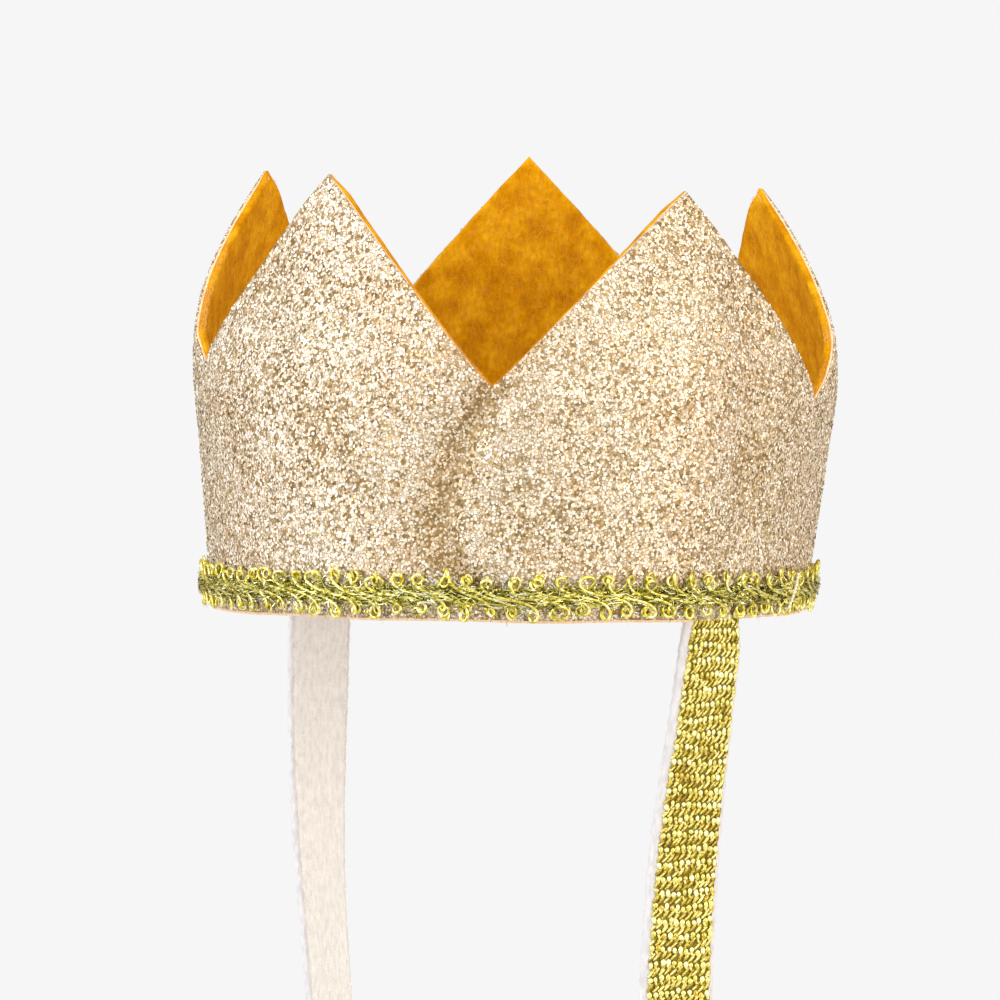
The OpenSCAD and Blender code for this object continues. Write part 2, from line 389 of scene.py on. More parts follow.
def shell(name, material, depth, thick, rows, lift, drop, rough_out=0.0, rough_in=0.0, seed=1):
    """One ply of the wall: a closed strip, open at the back seam, cut to the crown's outline."""
    cols = len(COLUMNS)
    edge = 0.10 * wave_noise(np.radians(COLUMNS) * HEM_R, 0.0, seed, 5.0)
    top, hem = TOP + lift + edge, HEM - drop + 0.6 * edge
    z = hem + np.linspace(0, 1, rows)[:, None] * (top - hem)
    alpha = np.broadcast_to(COLUMNS, z.shape)

    def face(under, rough, salt):
        p, n, _, _ = wall_frame(alpha, z, under)
        if rough:
            p = p + n * (rough * wave_noise(np.radians(alpha) * HEM_R, z, salt, 2.2, 3))[..., None]
        return p.reshape(-1, 3)

    verts = np.concatenate([face(depth, rough_out, seed + 5), face(depth + thick, rough_in, seed + 9)])
    inner = rows * cols
    index = np.arange(inner).reshape(rows, cols)
    rims = []
    for line, flip in ((index[0], True), (index[-1], False), (index[:, 0], False), (index[:, -1], True)):
        quads = np.stack([line[:-1], line[1:], line[1:] + inner, line[:-1] + inner], -1)
        rims.append(quads[:, ::-1] if flip else quads)
    faces = [grid_faces(rows, cols), grid_faces(rows, cols, offset=inner, flip=True)] + rims
    # How deep each point lies in a crease, which the glitter's colour uses as painted shade
    crease_shade = np.clip(-np.tile(creases(alpha, z).ravel(), 2), 0, 1)
    return make_object(name, verts, np.concatenate(faces), material, attributes={"crease_shade": crease_shade})


# ------ materials
def srgb(r, g, b):
    """Linear colour from 0-255 values."""
    parts = (r / 255, g / 255, b / 255)
    return (*(c / 12.92 if c <= 0.04045 else ((c + 0.055) / 1.055) ** 2.4 for c in parts), 1.0)


def grey(level):
    return (level, level, level, 1)


class Nodes:
    """A short way to build a node material."""

    def __init__(self, name):
        self.material = bpy.data.materials.new(name)
        self.material.use_nodes = True
        self.tree = self.material.node_tree
        self.tree.nodes.clear()
        self.out = self.tree.nodes.new("ShaderNodeOutputMaterial")
        self.shader = self.tree.nodes.new("ShaderNodeBsdfPrincipled")
        self.link(self.shader.outputs[0], self.out.inputs[0])

    def node(self, kind, **values):
        n = self.tree.nodes.new("ShaderNode" + kind)
        for key, value in values.items():
            if hasattr(n, key):
                setattr(n, key, value)
            else:
                n.inputs[key.replace("_", " ")].default_value = value
        return n

    def link(self, a, b):
        self.tree.links.new(a, b)

    def set(self, **values):
        for key, value in values.items():
            self.shader.inputs[key.replace("_", " ")].default_value = value

    def colour(self, socket):
        self.link(socket, self.shader.inputs["Base Color"])

    def ramp(self, source, stops):
        n = self.tree.nodes.new("ShaderNodeValToRGB")
        el = n.color_ramp.elements
        while len(el) < len(stops):
            el.new(0.5)
        for e, (at, colour) in zip(el, stops):
            e.position = at
            e.color = colour
        self.link(source, n.inputs[0])
        return n.outputs[0]

    def feed(self, socket, value):
        """Links another node's output, or sets a plain value."""
        if isinstance(value, bpy.types.NodeSocket):
            self.link(value, socket)
        else:
            socket.default_value = value

    def mix(self, factor, a, b, blend="MIX"):
        n = self.tree.nodes.new("ShaderNodeMix")
        n.data_type = "RGBA"
        n.blend_type = blend
        for socket, value in ((n.inputs[0], factor), (n.inputs[6], a), (n.inputs[7], b)):
            self.feed(socket, value)
        return n.outputs[2]

    def math(self, kind, a, b=0.0):
        n = self.tree.nodes.new("ShaderNodeMath")
        n.operation = kind
        self.feed(n.inputs[0], a)
        self.feed(n.inputs[1], b)
        return n.outputs[0]

    def position(self):
        return self.node("TexCoord").outputs["Object"]

    def attribute(self, name):
        return self.node("Attribute", attribute_name=name).outputs["Fac"]

    def noise(self, scale, detail, stretch=None):
        n = self.node("TexNoise", Scale=scale, Detail=detail)
        v = self.position()
        if stretch:
            m = self.node("Mapping", Scale=stretch)
            self.link(v, m.inputs[0])
            v = m.outputs[0]
        self.link(v, n.inputs["Vector"])
        return n.outputs["Fac"]

    def bump(self, height, strength, distance):
        n = self.node("Bump", Strength=strength, Distance=distance)
        self.link(height, n.inputs["Height"])
        self.link(n.outputs[0], self.shader.inputs["Normal"])

    def vector(self, operation, a, b=None):
        n = self.node("VectorMath", operation=operation)
        self.feed(n.inputs[0], a)
        if b is not None:
            self.feed(n.inputs[1], b)
        return n.outputs[0]

    def flake_normal(self, cells, strength):
        """Turns each cell's surface its own way, as a flake of glitter lies."""
        turned = self.vector("SCALE", self.vector("SUBTRACT", cells, (0.5, 0.5, 0.5)))
        turned.node.inputs["Scale"].default_value = strength
        added = self.vector("ADD", self.node("NewGeometry").outputs["Normal"], turned)
        self.link(self.vector("NORMALIZE", added), self.shader.inputs["Normal"])


FLAKE_TONES = [
    (0.00, srgb(126, 100, 58)), (0.15, srgb(164, 138, 96)), (0.30, srgb(204, 183, 150)),
    (0.48, srgb(224, 210, 188)), (0.66, srgb(233, 223, 209)), (1.00, srgb(236, 230, 219))]
COAT_TONES = [
    (0.00, srgb(136, 110, 68)), (0.22, srgb(184, 160, 120)), (0.45, srgb(216, 198, 170)),
    (0.70, srgb(229, 217, 199)), (1.00, srgb(235, 228, 216))]
# Glitter grains to the metre
GRAINS = 1900.0
# Radians of winding for each millimetre of a foil cord, a sewing thread and the elastic's yarn
FOIL_WIND = 5.72
THREAD_WIND = 9.0
YARN_WIND = 14.0


def glitter_material():
    """Grains that each have a tone and lie their own way, dark between, and darker in the creases as painted
    shade.
    """
    m = Nodes("glitter_coat")
    cell = m.node("TexVoronoi", Scale=GRAINS)
    rim = m.node("TexVoronoi", feature="DISTANCE_TO_EDGE", Scale=GRAINS)
    m.link(m.position(), cell.inputs["Vector"])
    m.link(m.position(), rim.inputs["Vector"])
    tone = m.node("SeparateColor")
    m.link(cell.outputs["Color"], tone.inputs[0])
    # Painted shade: the grains turn darker where the wall lies in a crease
    crease_shade = m.math("MULTIPLY", m.attribute("crease_shade"), -0.33)
    broad = m.math("MULTIPLY", m.noise(70.0, 4.0), 0.8)
    level = m.math("ADD", m.math("ADD", tone.outputs[0], crease_shade), m.math("SUBTRACT", broad, 0.40))
    grain = m.ramp(level, COAT_TONES)
    line = m.ramp(rim.outputs["Distance"], [(0.03, grey(0)), (0.13, grey(1))])
    gap = m.ramp(m.noise(800.0, 2.0), [(0.35, srgb(112, 90, 42)), (0.65, srgb(160, 128, 76))])
    blush = m.ramp(m.noise(34.0, 3.0), [(0.38, (1.0, 0.94, 0.90, 1)), (0.60, grey(1))])
    m.colour(m.mix(1.0, m.mix(line, gap, grain), blush, "MULTIPLY"))
    m.link(m.ramp(tone.outputs[1], [(0.0, grey(0.25)), (1.0, grey(0.5))]), m.shader.inputs["Roughness"])
    m.set(Metallic=0.35)
    m.flake_normal(cell.outputs["Color"], 0.7)
    return m.material


def flake_material():
    m = Nodes("glitter_flakes")
    m.colour(m.ramp(m.attribute("tone"), FLAKE_TONES))
    m.link(m.ramp(m.attribute("sheen"), [(0.0, grey(0.28)), (1.0, grey(0.55))]), m.shader.inputs["Roughness"])
    m.set(Metallic=0.2)
    return m.material


def ground_material():
    m = Nodes("woven_ground")
    threads = m.noise(2600.0, 2.0, stretch=(1, 1, 0.3))
    m.colour(m.ramp(threads, [(0.3, srgb(230, 184, 138)), (0.7, srgb(252, 222, 186))]))
    m.set(Roughness=0.85)
    m.bump(threads, 0.4, 0.0001)
    return m.material


def felt_material():
    m = Nodes("mustard_felt")
    blotch = m.noise(230.0, 5.0)
    fibre = m.noise(1500.0, 5.0, stretch=(1, 1, 0.45))
    pile = m.noise(700.0, 6.0)
    base = m.ramp(blotch, [(0.34, srgb(194, 126, 0)), (0.5, srgb(214, 148, 4)), (0.66, srgb(229, 168, 22))])
    shade = m.ramp(fibre, [(0.30, (0.60, 0.56, 0.36, 1)), (0.70, (1.08, 1.10, 1.06, 1))])
    m.colour(m.mix(0.6, base, shade, "MULTIPLY"))
    m.set(Roughness=0.95, Sheen_Weight=0.04, Sheen_Roughness=0.5)
    m.shader.inputs["Sheen Tint"].default_value = srgb(255, 200, 110)
    m.shader.inputs["Specular IOR Level"].default_value = 0.06
    height = m.math("ADD", pile, m.math("MULTIPLY", fibre, 0.6))
    m.bump(height, 0.65, 0.0005)
    return m.material


def fibre_material(name, low, high):
    m = Nodes(name)
    m.colour(m.ramp(m.attribute("tone"), [(0.0, low), (1.0, high)]))
    m.set(Roughness=0.8)
    return m.material


def foil_material(name, dark, mid, light, metallic, roughness):
    """Metallic foil wound on a cord: faint bands along it, and a tone that varies from place to place."""
    m = Nodes(name)
    band = m.math("SINE", m.math("MULTIPLY", m.attribute("along"), FOIL_WIND))
    spot = m.noise(1100.0, 3.0)
    tone = m.math("ADD", m.math("MULTIPLY", band, 0.06), spot)
    m.colour(m.ramp(tone, [(0.28, dark), (0.46, mid), (0.66, light)]))
    m.set(Metallic=metallic, Roughness=roughness)
    m.bump(band, 0.22, 0.00006)
    return m.material


def lurex_material(name, dark, mid, light, roughness):
    """Flat gold yarn: its tone varies stitch by stitch, and a few stitches are warm."""
    m = Nodes(name)
    spot = m.noise(1300.0, 3.0)
    tone = m.math("ADD", m.math("MULTIPLY", m.attribute("tone"), 0.5), m.math("MULTIPLY", spot, 0.6))
    colour = m.ramp(tone, [(0.22, dark), (0.48, mid), (0.76, light)])
    warm = m.ramp(m.attribute("tone"), [(0.0, (1.0, 0.80, 0.62, 1)), (0.16, grey(1)), (1.0, grey(1))])
    m.colour(m.mix(1.0, colour, warm, "MULTIPLY"))
    m.set(Metallic=0.7, Roughness=roughness)
    band = m.math("SINE", m.math("MULTIPLY", m.attribute("along"), YARN_WIND))
    m.bump(band, 0.35, 0.00008)
    return m.material


def tinsel_material():
    m = Nodes("tinsel")
    m.colour(m.ramp(m.attribute("tone"), [(0.0, srgb(46, 42, 0)), (0.38, srgb(132, 124, 14)),
                                          (0.68, srgb(226, 216, 100)), (1.0, srgb(255, 254, 224))]))
    m.set(Metallic=0.75, Roughness=0.25)
    return m.material


def thread_material(name, low, high):
    m = Nodes(name)
    ply = m.math("SINE", m.math("MULTIPLY", m.attribute("along"), THREAD_WIND))
    m.colour(m.ramp(m.math("ADD", m.math("MULTIPLY", ply, 0.5), 0.5), [(0.0, low), (1.0, high)]))
    m.set(Roughness=0.6)
    return m.material


def web_material(name, low, high, scale, stretch):
    m = Nodes(name)
    knit = m.noise(scale, 4.0, stretch=stretch)
    m.colour(m.ramp(knit, [(0.32, low), (0.68, high)]))
    m.set(Roughness=0.85, Sheen_Weight=0.2)
    m.bump(knit, 0.5, 0.0002)
    return m.material


GLITTER = glitter_material()
FLAKES = flake_material()
GROUND = ground_material()
FELT = felt_material()
FELT_FIBRE = fibre_material("felt_fibre", srgb(196, 122, 0), srgb(240, 178, 34))
RIM_FIBRE = fibre_material("rim_fibre", srgb(224, 156, 52), srgb(250, 210, 140))
SCROLL = foil_material("scroll_foil",
                       srgb(158, 140, 16), srgb(224, 208, 76), srgb(255, 251, 196), 0.75, 0.30)
CORE = foil_material("core_foil", srgb(40, 36, 2), srgb(112, 104, 18), srgb(226, 220, 140), 0.8, 0.3)
TACK = thread_material("tack_thread", srgb(214, 196, 168), srgb(250, 240, 224))
SEWING = thread_material("sewing_thread", srgb(196, 158, 92), srgb(232, 200, 140))
WEB_WHITE = web_material("elastic_white", srgb(211, 210, 208), srgb(233, 232, 231), 1300.0, (1, 1, 0.4))
# The selvages are white like the rest of the web; this greyer copy is painted shade on their rounded edges
WEB_SELVAGE_SHADED = web_material("elastic_selvage_shaded", srgb(194, 192, 194), srgb(214, 213, 217), 1300.0, (1, 1, 0.4))
# Dark olive on the web's gold side: painted shade seen between the knit's beads and floats
WEB_GAP_SHADE = web_material("elastic_gap_shade", srgb(84, 74, 8), srgb(146, 130, 38), 1500.0, (1, 1, 1))
# One lurex yarn in two copies: lighter for the beads, as painted highlight on the stitches' tops, darker for
# the floats, as painted shade
KNIT_BEAD_LIT = lurex_material("lurex_bead_lit", srgb(196, 182, 70), srgb(236, 226, 128), srgb(255, 252, 196), 0.26)
KNIT_FLOAT_SHADED = lurex_material("lurex_float_shaded", srgb(128, 110, 18), srgb(204, 184, 74), srgb(246, 234, 152), 0.3)
FOIL_ENDS = tinsel_material()
PLUSH = fibre_material("plush_fibre", srgb(232, 228, 224), srgb(252, 250, 248))


# ------ wall pieces
def glitter_flakes(count):
    """Loose-lying hexagonal flakes on the outer face, each tipped its own way."""
    alpha = RNG.uniform(0, 360, count * 2)
    z = RNG.uniform(0.5, HIGHEST, count * 2)
    # Painted shade in the creases: fewer flakes are kept there, and those kept are darker
    crease_shade = np.clip(-creases(alpha, z), 0, 1)
    keep = np.flatnonzero((z < top_at(alpha) - 0.15) & (RNG.uniform(0, 1, count * 2) > 0.35 * crease_shade))[:count]
    alpha, z, crease_shade = alpha[keep], z[keep], crease_shade[keep]
    n = len(alpha)
    p, normal, east, north = wall_frame(alpha, z)
    tip = unit(normal + 0.20 * RNG.standard_normal((n, 1)) * east
               + 0.20 * RNG.standard_normal((n, 1)) * north)
    spin = RNG.uniform(0, 2 * np.pi, n)[:, None]
    u = unit(np.cross(tip, np.cos(spin) * east + np.sin(spin) * north))
    v = np.cross(tip, u)
    size = RNG.uniform(0.17, 0.34, n)[:, None]
    centre = p + normal * RNG.uniform(0.03, 0.09, n)[:, None]
    corners = np.radians(np.arange(6) * 60.0)
    verts = (centre[:, None, :] + size[:, None] * (np.cos(corners)[None, :, None] * u[:, None, :]
                                                  + np.sin(corners)[None, :, None] * v[:, None, :]))
    faces = repeated(fan(6), n, 6)
    cluster = 0.10 * wave_noise(np.radians(alpha) * HEM_R, z, 19, 9.0)
    # Flakes in a crease are darkened as painted shade
    tone = np.repeat(np.clip((RNG.beta(1.5, 1.05, n) + cluster) * (1 - 0.45 * crease_shade), 0, 1), 6)
    sheen = np.repeat(RNG.uniform(0, 1, n), 6)
    return make_object("glitter_flakes", verts.reshape(-1, 3), faces, FLAKES, False,
                       {"tone": tone, "sheen": sheen})


def fuzz(name, points, normals, east, north, material, length, lie, width, seed, steps=3):
    """Short curved fibres, as thin ribbons that lie over and rise a little from a surface."""
    rng = np.random.default_rng(seed)
    n = len(points)
    turn = rng.uniform(0, 2 * np.pi, n)[:, None]
    way = np.cos(turn) * east + np.sin(turn) * north
    side = unit(np.cross(normals, way))
    bend = rng.normal(0, 0.5, n)[:, None]
    size = length * rng.uniform(0.5, 1.4, n)[:, None]
    rows = []
    for k in range(steps + 1):
        t = k / steps
        lift = (lie * np.sin(np.pi * t * 0.8) * rng.uniform(0.2, 1.0, n)[:, None] if k else -0.02)
        centre = points + size * t * way + side * bend * size * t * t * 0.5 + normals * lift
        w = width * (1 - 0.55 * t)
        rows.append(np.stack([centre - side * w / 2, centre + side * w / 2], 1))
    verts = np.stack(rows, 1).reshape(n, -1, 3)
    one = np.array([[2 * k, 2 * k + 1, 2 * k + 3, 2 * k + 2] for k in range(steps)])
    per = 2 * (steps + 1)
    tone = np.repeat(rng.uniform(0, 1, n), per)
    return make_object(name, verts.reshape(-1, 3), repeated(one, n, per), material, attributes={"tone": tone})


def scatter_on_wall(count, depth, seed, low, clear):
    """Frames of the wall at random places, from a height up to a clear distance below the cut edge."""
    rng = np.random.default_rng(seed)
    alpha = rng.uniform(0, 360, count * 2)
    z = rng.uniform(low, HIGHEST, count * 2)
    keep = np.flatnonzero(z < top_at(alpha) - clear)[:count]
    return wall_frame(alpha[keep], z[keep], depth)


def edge_fuzz(count, seed):
    """Fibres that stand out of the cut upper edge of the felt."""
    rng = np.random.default_rng(seed)
    alpha = rng.uniform(COLUMNS[0], COLUMNS[-1], count)
    top = np.interp(alpha, COLUMNS, TOP)
    depth = rng.uniform(0.9, 2.0, count)
    p, normal, east, north = wall_frame(alpha, top - 0.05, 0.0)
    p = p - normal * depth[:, None]
    slope = np.interp(alpha, COLUMNS, np.gradient(TOP, COLUMNS)) / (HEM_R * np.pi / 180)
    across = unit(east + slope[:, None] * north)
    out = unit(north - slope[:, None] * east)
    clear = np.min(np.abs(off_tips(alpha)), 0) > 1.2
    return fuzz("felt_edge_fuzz", p[clear], out[clear], across[clear], 0.35 * normal[clear], RIM_FIBRE,
                0.45, 0.18, 0.05, seed + 1)


def build_wall():
    glitter = shell("glitter_face_cloth", GLITTER, 0.0, GLITTER_T, 84, 0.0, 0.0, rough_out=0.03, seed=3)
    ground = shell("woven_ground_cloth", GROUND, GLITTER_T, GROUND_T, 24, 0.0, 0.45, seed=4)
    felt = shell("felt_lining_cloth", FELT, GLITTER_T + GROUND_T, FELT_T, 80, 0.08, 0.35,
                 rough_in=0.09, seed=6)
    flakes = glitter_flakes(FLAKE_COUNT)
    p, n, e, u = scatter_on_wall(LINING_FIBRES, WALL_T, 71, 1.0, 2.2)
    lining_fuzz = fuzz("felt_fuzz", p, -n, e, u, FELT_FIBRE, 2.1, 0.20, 0.065, 72)
    rim_fuzz = edge_fuzz(EDGE_FIBRES, 77)
    for piece, node, slot in ((glitter, "glitter_face", "glitter_cloth"),
                              (ground, "fabric_ground", "cloth_ground"),
                              (felt, "felt_lining", "felt")):
        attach(piece, "crown")
        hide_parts(node)
    for piece, slot in ((flakes, "glitter_cloth"), (lining_fuzz, "felt"), (rim_fuzz, "felt")):
        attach(piece, "crown")


def build_seam():
    """Zigzag stitches across the butted ends of the strip, outside and inside."""
    z = np.arange(10.5, SEAM_TOP - 1.0, 1.5)
    flip = np.where(np.arange(len(z)) % 2, 1.0, -1.0)
    cords = []
    for depth, out in ((-0.10, 1), (WALL_T + 0.12, -1)):
        t = np.linspace(0, 1, 9)
        a0, a1 = flip[:-1] * 1.9, flip[1:] * 1.9
        turn = SEAM_TURN + np.degrees((a0[:, None] + (a1 - a0)[:, None] * t) / WAIST_R)
        high = z[:-1, None] + (z[1:] - z[:-1])[:, None] * t
        p, n, _, _ = wall_frame(turn, high, depth)
        p = p + out * n * (0.16 * np.sin(np.pi * t) - 0.12)[None, :, None]
        cords.append(tubes(p, n, 0.17))
    crown_cords("seam_zigzag", cords, SEWING, "seam_stitches")


# ------ braid
def braid_point(s, y, d):
    """(point, normal) of the braid: s along the hem, y up from its middle, d off the wall."""
    alpha = BRAID_END_TURN + np.degrees(s / HEM_R)
    z = BRAID_Z + y + hem_line(alpha) * 0.8
    p, n, _, _ = wall_frame(alpha, z)
    return p + n * np.asarray(d)[..., None], n


def scroll_cord(phase, seed):
    """One scroll cord: it loops over itself above and below the core, and crosses the core between."""
    rng = np.random.default_rng(seed)
    pitch = BRAID_RUN / SCROLLS
    per = 150
    t = np.linspace(0, 2 * np.pi * SCROLLS, per * SCROLLS + 1)
    k = (t / np.pi).astype(int)
    jitter = rng.normal(0, 1, (4, 2 * SCROLLS + 3))
    blend_k = smooth(t / np.pi - k)
    wobble = jitter[:, k] * (1 - blend_k) + jitter[:, k + 1] * blend_k
    swing = 2.35 * (1 + 0.22 * wobble[0])
    s = pitch * (t / (2 * np.pi) + phase) - swing * np.sin(2 * t) + 0.42 * wobble[1]
    y = 3.05 * np.cos(t) * (1 + 0.11 * wobble[2]) + 0.50 * np.cos(3 * t) + 0.28 * wobble[3]
    d = 0.95 + 0.62 * np.sin(t) + 0.30 * np.cos(2 * t) * (np.abs(np.cos(t)) > 0.7)
    d = np.convolve(np.pad(d, 6, mode="edge"), np.ones(13) / 13, "valid")
    return s, y, np.maximum(d, 0.26)


def twisted_cord(y, radius, turns_per_mm):
    """Two plies twisted into a cord along the hem."""
    cords = []
    s = np.linspace(0, BRAID_RUN, 1250)
    for ply in (0, np.pi):
        a = 2 * np.pi * turns_per_mm * s + ply
        p, n = braid_point(s, y + radius * 0.5 * np.cos(a), 0.5 + radius * 0.5 * np.sin(a))
        cords.append(cord(p, n, radius * 0.55))
    return cords


def build_braid():
    for group, (phases, name, node) in enumerate((((0.0, 0.5), "scroll_cords_a", "braid_upper_curls"),
                                                  ((0.25, 0.75), "scroll_cords_b", "braid_lower_curls"))):
        cords = []
        for i, phase in enumerate(phases):
            s, y, d = scroll_cord(phase, 300 + 10 * group + i)
            cords.append(cord(*braid_point(s, y, d), 0.29, 7))
        crown_cords(name, cords + curl_rings(phases, 40 + group), SCROLL, node)
    for name, y, node in (("upper_edge_cord", 1.15, "braid_upper_cord"),
                          ("lower_edge_cord", -1.15, "braid_lower_cord")):
        crown_cords(name, twisted_cord(y, 0.40, 0.55), CORE, node)
    cords = []
    s = np.linspace(0, BRAID_RUN, 1500)
    for strand in range(3):
        a = 2 * np.pi * (s / 5.2 + strand / 3)
        p, n = braid_point(s, 0.60 * np.sin(a), 0.60 + 0.32 * np.sin(2 * a))
        cords.append(cord(p, n, 0.38, 8, 0.8))
    crown_cords("centre_plait", cords, CORE, "braid_centre_plait")
    build_tinsel()
    build_braid_end()


def curl_rings(phases, seed):
    """The extra turns of foil cord that make each curl a small knot of loops."""
    rng = np.random.default_rng(seed)
    pitch = BRAID_RUN / SCROLLS
    cords = []
    centre = np.array([pitch * (k + phase + half)
                       for phase in phases for k in range(SCROLLS) for half in (0, 0.5)])
    side = np.tile([1.0, -1.0], len(phases) * SCROLLS)
    t = np.linspace(0, 2 * np.pi * 1.3, 24)[None]
    for turn in range(2):
        kept = rng.uniform(0, 1, len(centre)) > 0.28
        here, over = centre[kept][:, None], side[kept][:, None]
        n = len(here)
        phase = rng.uniform(0, 2 * np.pi, (n, 1))
        grow = 1 - rng.uniform(0.0, 0.25, (n, 1)) * t / t.max()
        wide, high = rng.uniform(0.62, 0.98, (n, 1)), rng.uniform(0.70, 1.10, (n, 1))
        s = here + rng.normal(0, 0.34, (n, 1)) + wide * grow * np.cos(t + phase)
        y = over * (2.62 + rng.normal(0, 0.26, (n, 1))) + high * grow * np.sin(t + phase)
        d = 0.62 + 0.30 * turn + rng.uniform(0.15, 0.45, (n, 1)) * np.cos(t + rng.uniform(0, 6.3, (n, 1)))
        cords.append(tubes(*braid_point(s, y, np.maximum(d, 0.22)), 0.23))
    return cords


def build_tinsel():
    """Loose ends of foil that stand out all along the braid."""
    rng = np.random.default_rng(91)
    s = rng.uniform(0, BRAID_RUN, TINSEL)
    y = np.clip(rng.normal(0, 1.75, TINSEL), -3.7, 3.7)
    p, normal = braid_point(s, y, rng.uniform(0.55, 1.25, TINSEL))
    east = unit(np.cross([0, 0, 1.0], normal))
    loose = fuzz("braid_tinsel", p, normal, east, np.cross(normal, east), FOIL_ENDS, 0.95, 0.5, 0.15, 92)
    # Longer strands lie along the core, thick in some places and thin in others
    s = rng.uniform(0, BRAID_RUN, TINSEL)
    s = s[wave_noise(s, 0.0, 94, 22.0) + rng.normal(0, 0.35, len(s)) > -0.45]
    y = rng.normal(0, 0.85, len(s))
    p, normal = braid_point(s, y, rng.uniform(1.2, 1.9, len(s)))
    east = unit(np.cross([0, 0, 1.0], normal))
    flat = 0.25 * np.cross(normal, east)
    strands = fuzz("braid_strands", p, normal, east, flat, FOIL_ENDS, 2.2, 0.45, 0.20, 93)
    for piece in (loose, strands):
        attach(piece, "crown")


def build_braid_end():
    """The cut end lapped over the start, its frayed cords, and the pale stitch that tacks it."""
    rng = np.random.default_rng(5)
    cords = []
    s = np.linspace(-3.0, 3.4, 60)
    for i, y in enumerate(np.linspace(-1.7, 1.7, 6)):
        wander = 0.25 * np.sin(s * 1.3 + i * 1.7)
        p, n = braid_point(s, y + wander, 1.55 + 0.22 * np.sin(s * 2.1 + i))
        cords.append(cord(p, n, 0.27, 7))
    t = np.linspace(0, 1, 10)
    for i in range(16):
        y0 = rng.uniform(-2.0, 2.0)
        reach = rng.uniform(1.2, 3.0)
        side = -1 if i % 2 else 1
        s = side * (3.0 + reach * t * 0.5)
        y = y0 + np.sign(y0) * reach * t ** 1.5 * 0.7
        cords.append(cord(*braid_point(s, y, 1.4 + 0.5 * np.sin(3 * t + i)), 0.09, 5))
    crown_cords("braid_lapped_end_cords", cords, SCROLL, "braid_lapped_end")
    t = np.linspace(0, 1, 24)
    p, n = braid_point(0.9 - 2.6 * t, 3.4 - 6.4 * t, 1.95 + 0.25 * np.sin(np.pi * t) - 1.4 * (t > 0.97))
    crown_cords("braid_tack_stitch", [cord(p, n, 0.24, 8)], TACK, "braid_end_tack")


# ------ strap
# Each strand's centreline down to the round of the loop, as heights and distances from the middle
STRAND_LEFT = [(16.0, 53.3), (8.0, 52.6), (0.0, 51.9), (-4.0, 51.7), (-16.0, 50.2),
               (-32.0, 48.0), (-52.0, 46.4), (-72.0, 45.6), (-92.0, 44.5), (-108.0, 43.2)]
STRAND_RIGHT = [(16.0, 53.3), (8.0, 52.6), (0.0, 51.9), (-4.0, 51.9), (-16.0, 51.8),
                (-36.0, 51.2), (-56.0, 49.6), (-76.0, 47.4), (-94.0, 45.4), (-108.0, 43.6)]


def loop_path():
    """The strap's centreline from the right sewn end to the left one: (x, z) rows, and the run to each."""
    right = [(-x, z) for z, x in STRAND_RIGHT]
    left = [(x, z) for z, x in STRAND_LEFT][::-1]
    middle_z, radius = -111.4, 42.7
    arc = [(-radius * math.cos(a), middle_z - radius * math.sin(a))
           for a in np.radians(np.arange(12, 169, 12))]
    pts = np.array(right + arc + left)
    chord = np.concatenate([[0], np.cumsum(np.linalg.norm(np.diff(pts, axis=0), axis=1))])
    # A smooth curve through the points: cubic Hermite with slopes from the neighbours
    slope = np.gradient(pts, chord, axis=0)
    fine = np.linspace(0, chord[-1], 1600)
    i = np.clip(np.searchsorted(chord, fine, "right") - 1, 0, len(chord) - 2)
    h = (chord[i + 1] - chord[i])[:, None]
    t = ((fine - chord[i]) / h[:, 0])[:, None]
    p = ((2 * t**3 - 3 * t**2 + 1) * pts[i] + (t**3 - 2 * t**2 + t) * h * slope[i]
         + (-2 * t**3 + 3 * t**2) * pts[i + 1] + (t**3 - t**2) * h * slope[i + 1])
    run = np.concatenate([[0], np.cumsum(np.linalg.norm(np.diff(p, axis=0), axis=1))])
    return p, run


PATH, PATH_RUN = loop_path()
PATH_Z = PATH[:, 1]
PATH_TANGENT = unit(np.gradient(PATH, PATH_RUN, axis=0))


def strap_frame(s):
    """(point, width direction, outward normal) of the strap's centreline at a run along it."""
    x, z = (np.interp(s, PATH_RUN, PATH[:, i]) for i in (0, 1))
    tx, tz = (np.interp(s, PATH_RUN, PATH_TANGENT[:, i]) for i in (0, 1))
    outward = unit(np.stack([tz, np.zeros_like(x), -tx], -1))
    across = np.array([0.0, 1.0, 0.0])
    # Each strand turns a little about its own length and hangs a little off the middle plane
    down = np.clip(-z, 0, 200)
    left = 8.0 * smooth(down / 6) + 26.0 * smooth(down / 75)
    right = -11.0 * smooth(down / 6) * (1 - smooth(down / 70)) + 11.0 * smooth(down / 75)
    twist = np.radians(np.where(x > 0, left, right)) * (1 - smooth((down - 92) / 58))
    sway = (np.where(x < 0, -1.6, 0.2) * (1 - smooth(down / 120))
            - 1.2 * smooth(down / 60) * (1 - smooth((down - 80) / 70)))
    c, k = np.cos(twist)[:, None], np.sin(twist)[:, None]
    return np.stack([x, sway, z], -1), across * c + outward * k, outward * c - across * k


def strap_surface(s, w, d):
    """(point, outward normal, width direction) at run s, w across from the middle, d off the centreline."""
    p, width, normal = strap_frame(np.ravel(s))
    p = p + width * np.ravel(w)[:, None] + normal * np.ravel(d)[:, None]
    return tuple(v.reshape(np.shape(s) + (3,)) for v in (p, normal, width))


def outline_of_web(count):
    """Cross-section of the elastic: flat in the middle, with soft round selvages."""
    a = np.linspace(0, 2 * np.pi, count, endpoint=False)
    w = np.sign(np.cos(a)) * np.abs(np.cos(a)) ** 0.38 * STRAP_W / 2
    d = np.sign(np.sin(a)) * np.abs(np.sin(a)) ** 0.62 * STRAP_T / 2
    return w, d


